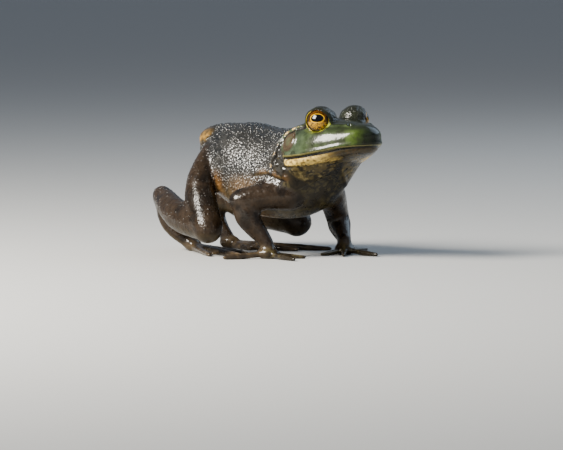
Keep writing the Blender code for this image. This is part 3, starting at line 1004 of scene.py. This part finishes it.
class Graph:
    """A material's node tree, written as expressions."""

    def __init__(self, name: str) -> None:
        """Starts a material with one Principled shader.

        Args:
            name: The material's name.
        """
        self.material = bpy.data.materials.new(name)
        self.material.use_nodes = True
        self.tree = self.material.node_tree
        self.node = partial(add_node, self.tree)
        self.place = self.node("ShaderNodeTexCoord").outputs["Object"]
        self.tone: Input = ()

    def math(self, operation: str, *values: Input) -> Socket:
        """A sum, product or other step on numbers."""
        return self.node("ShaderNodeMath", dict(enumerate(values)), operation=operation).outputs[0]

    def times(self, first: Input, *others: Input) -> Input:
        """A product of two numbers or more."""
        for other in others:
            first = self.math("MULTIPLY", first, other)
        return first

    def scale(self, value: Input, ends: tuple[float, float], to: tuple[float, float], way: str = "LINEAR") -> Socket:
        """A number brought from one range to another."""
        inputs = {"Value": value, "From Min": ends[0], "From Max": ends[1], "To Min": to[0], "To Max": to[1]}
        return self.node("ShaderNodeMapRange", inputs, interpolation_type=way).outputs[0]

    def rise(self, value: Input, start: float, end: float) -> Socket:
        """A smooth rise from 0 to 1."""
        return self.scale(value, (start, end), (0.0, 1.0), "SMOOTHSTEP")

    def line(self, value: Input, middle: float, wide: float, sharp: float) -> Socket:
        """A line where a number is near its middle: 0 past wide of it, and 1 within sharp."""
        return self.rise(self.math("ABSOLUTE", self.math("SUBTRACT", value, middle)), wide, sharp)

    def lay(self, share: Input, colour: Input, blend: str = "MIX") -> None:
        """Lays a colour over the tone so far."""
        inputs = {"Factor": share, 6: self.tone, 7: colour}
        self.tone = self.node("ShaderNodeMix", inputs, data_type="RGBA", blend_type=blend).outputs[2]

    def noise(self, place: Input, scale: float, detail: float = 2.0) -> Socket:
        """A cloudy pattern, from 0 to 1."""
        return self.node("ShaderNodeTexNoise", {"Vector": place, "Scale": scale, "Detail": detail}).outputs[0]

    def cells(self, place: Input, scale: float, feature: str = "F1") -> Socket:
        """Distance within a pattern of random cells."""
        inputs = {"Vector": place, "Scale": scale}
        return self.node("ShaderNodeTexVoronoi", inputs, feature=feature).outputs["Distance"]

    def stored(self, name: str, output: str = "Fac") -> Socket:
        """A value stored on the mesh."""
        return self.node("ShaderNodeAttribute", attribute_name=name).outputs[output]

    def finish(self, **inputs: Input) -> Material:
        """Sets the shader's inputs.

        Args:
            inputs: Sockets or values, by name with an underscore for each space.

        Returns:
            The material.
        """
        shader = self.tree.nodes["Principled BSDF"]
        for key, value in inputs.items():
            socket = shader.inputs[key.replace("_", " ")]
            if isinstance(value, Socket):
                self.tree.links.new(value, socket)
            else:
                socket.default_value = value
        return self.material


@dataclass(frozen=True)
class WetSkin:
    """Wet frog skin: the stored markings, broken up by fine speckles, with a grain under a clear wet coat."""

    roughness: float = 0.3
    coat: float = 0.8
    gloss: float = 0.13  # roughness of the wet coat
    shine: float = 0.14
    relief: float = 0.6
    depth: float = 0.0007  # of the grain, in metres
    lines: bool = True  # whether lip, mouth and lids are on it
    cream_edge: Colour = (0.20, 0.17, 0.05, 1.0)
    mouth_shade: Colour = (0.008, 0.006, 0.004, 1.0)
    lid_seam_shade: Colour = (0.010, 0.008, 0.005, 1.0)
    rim: Colour = (0.42, 0.30, 0.006, 1.0)
    gap: Colour = (0.02, 0.018, 0.008, 1.0)
    second_rim: Colour = (0.22, 0.24, 0.012, 1.0)
    fold_highlight: Colour = (0.46, 0.29, 0.10, 1.0)
    # groove: painted shade, a near-black line in the grooves beside the ear and shoulder folds
    groove: Colour = (0.007, 0.005, 0.003, 1.0)
    speck: Colour = (0.012, 0.01, 0.007, 1.0)

    def mouth(self, graph: Graph) -> None:
        """Lays on the cream lip and painted shade along the mouth's closed slit.

        Args:
            graph: The material's nodes.
        """
        ripple = graph.math("SUBTRACT", graph.noise(graph.place, 700.0), 0.5)
        cream = graph.math("MULTIPLY_ADD", ripple, 2.6, graph.stored("cream"))
        graph.lay(graph.rise(cream, -0.15, 0.35), graph.stored("lip", "Color"))
        bite = graph.stored("bite")
        graph.lay(graph.times(graph.line(bite, 1.1, 0.6, 0.15), 0.6), self.cream_edge)
        # Painted shade: a near-black line along the closed mouth's slit, where the lips meet.
        graph.lay(graph.line(bite, -0.15, 0.8, 0.5), self.mouth_shade)

    def eyelids(self, graph: Graph) -> None:
        """Lays on the yellow rims of the lower lid, and painted shade where the lids meet the eyeball, which shows
        along the upper lid.

        Args:
            graph: The material's nodes.
        """
        lid, margin, above, forward = (graph.stored(name) for name in ("lid", "margin", "above", "forward"))
        near, front = graph.rise(margin, 2.6, 2.2), graph.rise(lid, 2.2, 1.8)
        # Painted shade: a near-black line on the skin where the lids meet the eyeball; the gold rims cover most of it
        # on the lower lid.
        graph.lay(graph.times(graph.rise(margin, 0.45, 0.3), front), self.lid_seam_shade)
        rim = graph.math("MAXIMUM", graph.times(graph.rise(margin, 0.68, 0.56), front),
                         graph.times(graph.rise(lid, -0.5, -0.7), near))
        lower = graph.math("MAXIMUM", graph.rise(above, 0.3, -0.1), graph.rise(forward, -0.5, -0.8))
        gold = graph.times(rim, lower)
        graph.lay(gold, self.rim)
        gap = graph.times(graph.line(lid, -0.3, 0.3, 0.15), near, graph.rise(above, 0.1, -0.2),
                          graph.math("SUBTRACT", 1.0, gold))
        graph.lay(gap, self.gap)
        second = graph.times(graph.line(lid, 0.35, 0.42, 0.25), near, graph.rise(above, 0.0, -0.3),
                             graph.rise(forward, -0.5, 0.1))
        graph.lay(second, self.second_rim)

    def material(self, name: str) -> Material:
        """Makes the material.

        Args:
            name: Its name.

        Returns:
            The material.
        """
        graph = Graph(name)
        place = graph.place
        wander = graph.math("MULTIPLY_ADD", graph.noise(place, 420.0), 2.6, -1.3)
        ridge = graph.math("ADD", graph.stored("ridge"), wander)
        graph.tone = graph.stored("tint", "Color")
        # Painted highlight: a pale orange line along the ridges of the ear and shoulder folds, where light catches
        # them.
        graph.lay(graph.rise(ridge, 0.55, 0.1), self.fold_highlight)
        # Painted shade: a near-black line down the grooves beside the folds.
        graph.lay(graph.rise(graph.stored("groove"), 0.9, 0.5), self.groove)
        if self.lines:
            self.mouth(graph)
            self.eyelids(graph)
        cloud, ends = graph.noise(place, 300.0, 3.0), (0.3, 0.7)
        graph.lay(1.0, graph.scale(cloud, ends, (0.7, 1.3)), "MULTIPLY")
        specks = graph.rise(graph.cells(place, 800.0), 0.34, 0.14)
        graph.lay(graph.times(specks, 0.45), self.speck)
        grain = graph.stored("grain")
        pebbles = graph.math("SUBTRACT", 0.6, graph.cells(place, 680.0))
        pores = graph.times(graph.noise(place, 1500.0, 1.0), graph.math("MULTIPLY_ADD", grain, 0.06, 0.015))
        height = graph.math("MULTIPLY_ADD", pebbles, grain, pores)
        inputs = {"Height": height, "Strength": self.relief, "Distance": self.depth}
        bump = graph.node("ShaderNodeBump", inputs).outputs[0]
        return graph.finish(
            Base_Color=graph.tone, Roughness=graph.scale(cloud, ends, (self.roughness - 0.08, self.roughness + 0.12)),
            Normal=bump, Specular_IOR_Level=self.shine, Coat_Weight=graph.times(graph.stored("wet"), self.coat),
            Coat_Roughness=self.gloss, Coat_Normal=bump)


BEADS = WetSkin(coat=1.0, gloss=0.09, shine=0.3, relief=0.25, lines=False)  # the finish of the granules


@dataclass(frozen=True)
class GoldEye:
    """An iris of gold and orange with dark veins round a wide black pupil, under a clear wet cornea."""

    pupil: tuple[float, float] = (3.5, 2.15)
    iris: float = 6.3
    gold: Colour = (0.40, 0.20, 0.0, 1.0)
    # orange: dark orange-brown of the iris's top, its own colour deepened as painted shade from the upper lid
    orange: Colour = (0.085, 0.028, 0.0, 1.0)
    brown: Colour = (0.010, 0.005, 0.001, 1.0)
    limbus_and_lid_shadow: Colour = (0.02, 0.012, 0.006, 1.0)  # the dark edge of the iris: partly its own dark rim, partly painted shadow of the lids
    ring: Colour = (0.56, 0.30, 0.0, 1.0)
    black: Colour = (0.002, 0.002, 0.003, 1.0)

    def material(self, name: str) -> Material:
        """Makes the material.

        Args:
            name: Its name.

        Returns:
            The material.
        """
        graph = Graph(name)
        look = graph.stored("look", "Vector")
        front, up, _ = graph.node("ShaderNodeSeparateXYZ", {"Vector": look}).outputs
        wide, tall = (graph.math("ABSOLUTE", graph.math("DIVIDE", value, size))
                      for value, size in zip((front, up), self.pupil))
        oval = graph.math("SQRT", graph.math("ADD", graph.math("POWER", wide, 2.2), graph.math("POWER", tall, 2.0)))
        far = graph.math("SQRT", graph.math("ADD", graph.times(front, front), graph.times(up, up)))
        cloud = graph.noise(look, 0.9, 3.0)
        height = graph.math("ADD", up, graph.times(cloud, 2.5))
        graph.tone = self.gold
        # Darker towards the top: the iris's own orange-brown, deepened as painted shade from the upper lid.
        graph.lay(graph.rise(height, -1.2, 2.2), self.orange)
        mottle = graph.rise(graph.noise(look, 1.2, 6.0), 0.44, 0.60)
        graph.lay(graph.times(mottle, 0.92), self.brown)
        veins = graph.math("ADD", graph.cells(look, 1.5, "DISTANCE_TO_EDGE"), graph.times(cloud, 0.25))
        graph.lay(graph.times(graph.rise(veins, 0.2, 0.08), 0.6), self.brown)
        bar = graph.times(graph.line(up, 0.0, 2.6, 1.0), graph.line(front, 0.0, 3.6, 4.8), 0.85)
        graph.lay(bar, self.brown)
        # Dark outer ring of the iris: partly its own dark rim, partly painted shadow of the lids.
        graph.lay(graph.rise(far, self.iris - 1.0, self.iris - 0.1), self.limbus_and_lid_shadow)
        ring = graph.times(graph.rise(oval, 1.20, 1.12), graph.rise(oval, 0.98, 1.04))
        graph.lay(ring, self.ring)
        graph.lay(graph.rise(oval, 1.05, 0.98), self.black)
        return graph.finish(Base_Color=graph.tone, Roughness=0.35, Specular_IOR_Level=0.0, Coat_Weight=1.0,
                            Coat_Roughness=0.02, Coat_IOR=1.4)


@dataclass
class Eyeball:
    """One eye, finely meshed round the line it looks along."""

    seat: EyeSeat
    neck: Neck
    rings: int = 60
    sides: int = 96
    crowd: float = 1.3  # how close the rings lie round the gaze

    def build(self, material: Material) -> Object:
        """Makes the eyeball.

        Args:
            material: Its finish.

        Returns:
            The object.
        """
        gaze, front, up = self.seat.axes(self.seat.look)
        turn, radius = self.neck.head_matrix(), self.seat.radius
        points, look = [], []
        for i in range(self.rings + 1):
            polar = math.pi * (i / self.rings) ** self.crowd
            for j in range(self.sides):
                spoke = 2 * math.pi * j / self.sides
                aside, high = math.sin(polar) * math.cos(spoke), math.sin(polar) * math.sin(spoke)
                out = gaze * math.cos(polar) + front * aside + up * high
                points.append(turn @ ((self.seat.middle() + out * radius) * MM))
                look.append((aside * radius, high * radius, math.cos(polar)))
        word = "left" if self.seat.side > 0 else "right"
        made = mesh_object(f"eyeball_{word}", points, ring_faces(self.rings + 1, self.sides, self.rings))
        stored = made.data.attributes.new("look", "FLOAT_VECTOR", "POINT")
        stored.data.foreach_set("vector", np.array(look, np.float32).ravel())
        grid = bmesh.new()
        grid.from_mesh(made.data)
        bmesh.ops.remove_doubles(grid, verts=grid.verts, dist=1e-7)
        bmesh.ops.recalc_face_normals(grid, faces=grid.faces)
        grid.to_mesh(made.data)
        grid.free()
        made.data.shade_smooth()
        made.data.materials.append(material)
        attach(made, BODY)
        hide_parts(f"eye_{word}")
        return made


@dataclass(frozen=True)
class Granules:
    """Wet granules, each a low dome, scattered where one of the skin's stored shares says they grow.

    Sizes are in metres.
    """

    name: str
    share: str
    spacing: float
    radius: float
    height: float
    seed: int
    patch: float = 0.0015  # half of a dome's place on the flat map
    densest: float = 4e6  # before spacing thins them
    cut: float = -0.15  # where each ball is cut off, as a share of its radius
    sizes: tuple[float, float] = (0.45, 1.2)

    def tree(self, material: Material) -> bpy.types.GeometryNodeTree:
        """Makes the node tree, with its sizes as named inputs.

        Args:
            material: The finish it sets.

        Returns:
            The tree.
        """
        tree = bpy.data.node_groups.new(self.name, "GeometryNodeTree")
        tree.interface.new_socket("Geometry", in_out="INPUT", socket_type="NodeSocketGeometry")
        for name in ("Spacing", "Radius", "Height"):
            tree.interface.new_socket(name, in_out="INPUT", socket_type="NodeSocketFloat")
        tree.interface.new_socket("Geometry", in_out="OUTPUT", socket_type="NodeSocketGeometry")
        node = partial(add_node, tree)

        def stored(name: str, kind: str) -> Socket:
            """Reads a value stored on the geometry."""
            return node("GeometryNodeInputNamedAttribute", {"Name": name}, data_type=kind).outputs["Attribute"]

        def keep(geometry: Input, name: str, value: Input, kind: str, domain: str) -> Socket:
            """Stores a value on the geometry."""
            inputs = {"Geometry": geometry, "Name": name, "Value": value}
            return node("GeometryNodeStoreNamedAttribute", inputs, data_type=kind, domain=domain).outputs["Geometry"]

        given = node("NodeGroupInput").outputs
        spots = node("GeometryNodeDistributePointsOnFaces", {
            "Mesh": given["Geometry"], "Distance Min": given["Spacing"], "Density Max": self.densest,
            "Density Factor": stored(self.share, "FLOAT"), "Seed": self.seed}, distribute_method="POISSON").outputs
        ball = node("GeometryNodeMeshIcoSphere", {"Radius": 1.0, "Subdivisions": 2}).outputs["Mesh"]
        here = node("GeometryNodeInputPosition").outputs["Position"]
        height = node("ShaderNodeSeparateXYZ", {0: here}).outputs["Z"]
        low = node("FunctionNodeCompare", {0: height, 1: self.cut}, data_type="FLOAT",
                   operation="LESS_THAN").outputs["Result"]
        dome = node("GeometryNodeDeleteGeometry", {"Geometry": ball, "Selection": low}, domain="POINT").outputs[0]
        dome = keep(dome, "local", here, "FLOAT_VECTOR", "POINT")
        size = node("FunctionNodeRandomValue", {2: self.sizes[0], 3: self.sizes[1], "Seed": self.seed},
                    data_type="FLOAT").outputs[1]
        wide, tall = (node("ShaderNodeMath", {0: given[name], 1: size}, operation="MULTIPLY").outputs[0]
                      for name in ("Radius", "Height"))
        domes = node("GeometryNodeInstanceOnPoints", {
            "Points": spots["Points"], "Instance": dome, "Rotation": spots["Rotation"],
            "Scale": node("ShaderNodeCombineXYZ", {0: wide, 1: wide, 2: tall}).outputs[0]}).outputs[0]
        solid = node("GeometryNodeRealizeInstances", {"Geometry": domes}).outputs[0]
        local = node("ShaderNodeVectorMath", {0: stored("local", "FLOAT_VECTOR"), "Scale": self.patch},
                     operation="SCALE").outputs[0]
        flat = node("ShaderNodeVectorMath", {0: stored("map", "FLOAT_VECTOR"), 1: local}, operation="ADD").outputs[0]
        solid = keep(solid, "OFBake", flat, "FLOAT2", "CORNER")
        solid = node("GeometryNodeSetShadeSmooth", {"Geometry": solid}).outputs[0]
        solid = node("GeometryNodeSetMaterial", {"Geometry": solid, "Material": material}).outputs[0]
        node("NodeGroupOutput", {"Geometry": solid})
        return tree

    def build(self, skin: Object, material: Material) -> Object:
        """Makes one piece of granules.

        Args:
            skin: What they grow on.
            material: Their finish.

        Returns:
            The object.
        """
        made = link(self.name, skin.data.copy())
        grow = made.modifiers.new("grow", "NODES")
        grow.node_group = self.tree(material)
        sizes = {"Spacing": self.spacing, "Radius": self.radius, "Height": self.height}
        for item in grow.node_group.interface.items_tree:
            if item.item_type == "SOCKET" and item.name in sizes:
                grow[item.identifier] = sizes[item.name]
        apply_modifiers(made)
        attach(made, BODY)
        return made


COATS = (
    Granules("granules_flank", "flank", spacing=0.00125, radius=0.00082, height=0.00034, seed=4),
    Granules("granules_limb", "limb", spacing=0.0016, radius=0.00060, height=0.00022, seed=5),
    Granules("granules_crown", "crown", spacing=0.0008, radius=0.00030, height=0.00007, seed=6),
)


@dataclass(frozen=True)
class Stand:
    """Where a light or the camera stands, facing a spot."""

    azimuth: float  # degrees from -Y towards +X
    elevation: float
    far: float
    spot: Triple = (0.0, 0.0, 0.03)

    def place(self, name: str, data: bpy.types.ID) -> Object:
        """Puts a light or the camera there.

        Args:
            name: Its name.
            data: The light or camera.

        Returns:
            The object.
        """
        turn, rise = math.radians(self.azimuth), math.radians(self.elevation)
        way = Vector((math.sin(turn) * math.cos(rise), -math.cos(turn) * math.cos(rise), math.sin(rise)))
        made = link(name, data)
        made.location = Vector(self.spot) + way * self.far
        made.rotation_euler = way.to_track_quat("Z", "Y").to_euler()
        return made


@dataclass(frozen=True)
class Lamp:
    """A square light that faces the frog."""

    name: str
    stand: Stand
    size: float
    power: float
    colour: Triple

    def build(self) -> None:
        """Adds it."""
        lamp = bpy.data.lights.new(self.name, "AREA")
        lamp.size, lamp.energy, lamp.color = self.size, self.power, self.colour
        self.stand.place(self.name, lamp)


LAMPS = (
    Lamp("key", Stand(-18.0, 34.0, 1.0), 0.42, 38.0, (1.0, 0.95, 0.86)),
    Lamp("fill", Stand(75.0, 25.0, 1.6), 1.0, 0.9, (0.85, 0.92, 1.0)),
    Lamp("rim", Stand(165.0, 35.0, 1.4), 1.2, 8.0, (0.65, 0.82, 1.0)),
)


@dataclass(frozen=True)
class Studio:
    """Floor, sky, lights and camera."""

    azimuth: float = 42.0
    elevation: float = 4.0
    spot: Triple = (0.0144, -0.0161, 0.0176)
    clip: tuple[float, float] = (0.05, 200.0)
    lens: float = 300.0
    sensor: float = 36.0
    width: float = 0.304  # of the view, at the spot
    floor: float = 60.0  # from its middle to its sides
    floor_colour: Colour = (0.5, 0.5, 0.49, 1.0)
    sky_colour: Colour = (0.74, 0.84, 1.0, 1.0)
    sky: float = 0.26
    seen_sky: float = 0.142  # as bright as the far floor, so that no line shows where they meet

    def build_world(self) -> None:
        """Makes the soft light from all round."""
        world = bpy.data.worlds.new("soft")
        world.use_nodes = True
        back, tree = world.node_tree.nodes["Background"], world.node_tree
        back.inputs["Color"].default_value = self.sky_colour
        seen = add_node(tree, "ShaderNodeLightPath").outputs["Is Camera Ray"]
        inputs = {"Value": seen, "To Min": self.sky, "To Max": self.seen_sky}
        tree.links.new(add_node(tree, "ShaderNodeMapRange", inputs).outputs["Result"], back.inputs["Strength"])
        bpy.context.scene.world = world

    def build(self) -> None:
        """Makes the whole set."""
        self.build_world()
        corners = [(x * self.floor, y * self.floor, 0.0) for x, y in ((-1, -1), (1, -1), (1, 1), (-1, 1))]
        floor = mesh_object("floor", corners, [(0, 1, 2, 3)])
        floor.data.materials.append(Graph("pale_floor").finish(Base_Color=self.floor_colour, Roughness=0.8))
        for lamp in LAMPS:
            lamp.build()
        lens = bpy.data.cameras.new("camera")
        lens.lens, lens.sensor_width = self.lens, self.sensor
        lens.clip_start, lens.clip_end = self.clip
        far = self.width / 2.0 / math.tan(math.atan(self.sensor / 2.0 / self.lens))
        bpy.context.scene.camera = Stand(self.azimuth, self.elevation, far, self.spot).place("camera", lens)


def main() -> None:
    """Builds the pieces in order."""
    logging.basicConfig(level=logging.INFO, format="%(message)s")
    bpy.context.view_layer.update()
    neck = Neck()
    names = tuple(sorted(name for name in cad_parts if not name.startswith("eye_")))
    Studio().build()
    skin = Skin(neck, names).build()
    beads = BEADS.material("wet_granules")
    for granules in COATS:
        coat = granules.build(skin, beads)
        LOG.info("%s: %d faces", coat.name, len(coat.data.polygons))
    skin.data.materials.clear()
    skin.data.materials.append(WetSkin().material("wet_skin"))
    gold = GoldEye().material("gold_eye")
    for side in (-1, 1):
        eyeball = Eyeball(EyeSeat(side), neck).build(gold)
        LOG.info("%s: %d faces", eyeball.name, len(eyeball.data.polygons))
    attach(skin, BODY)
    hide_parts(*names)


if __name__ == "__main__":
    main()
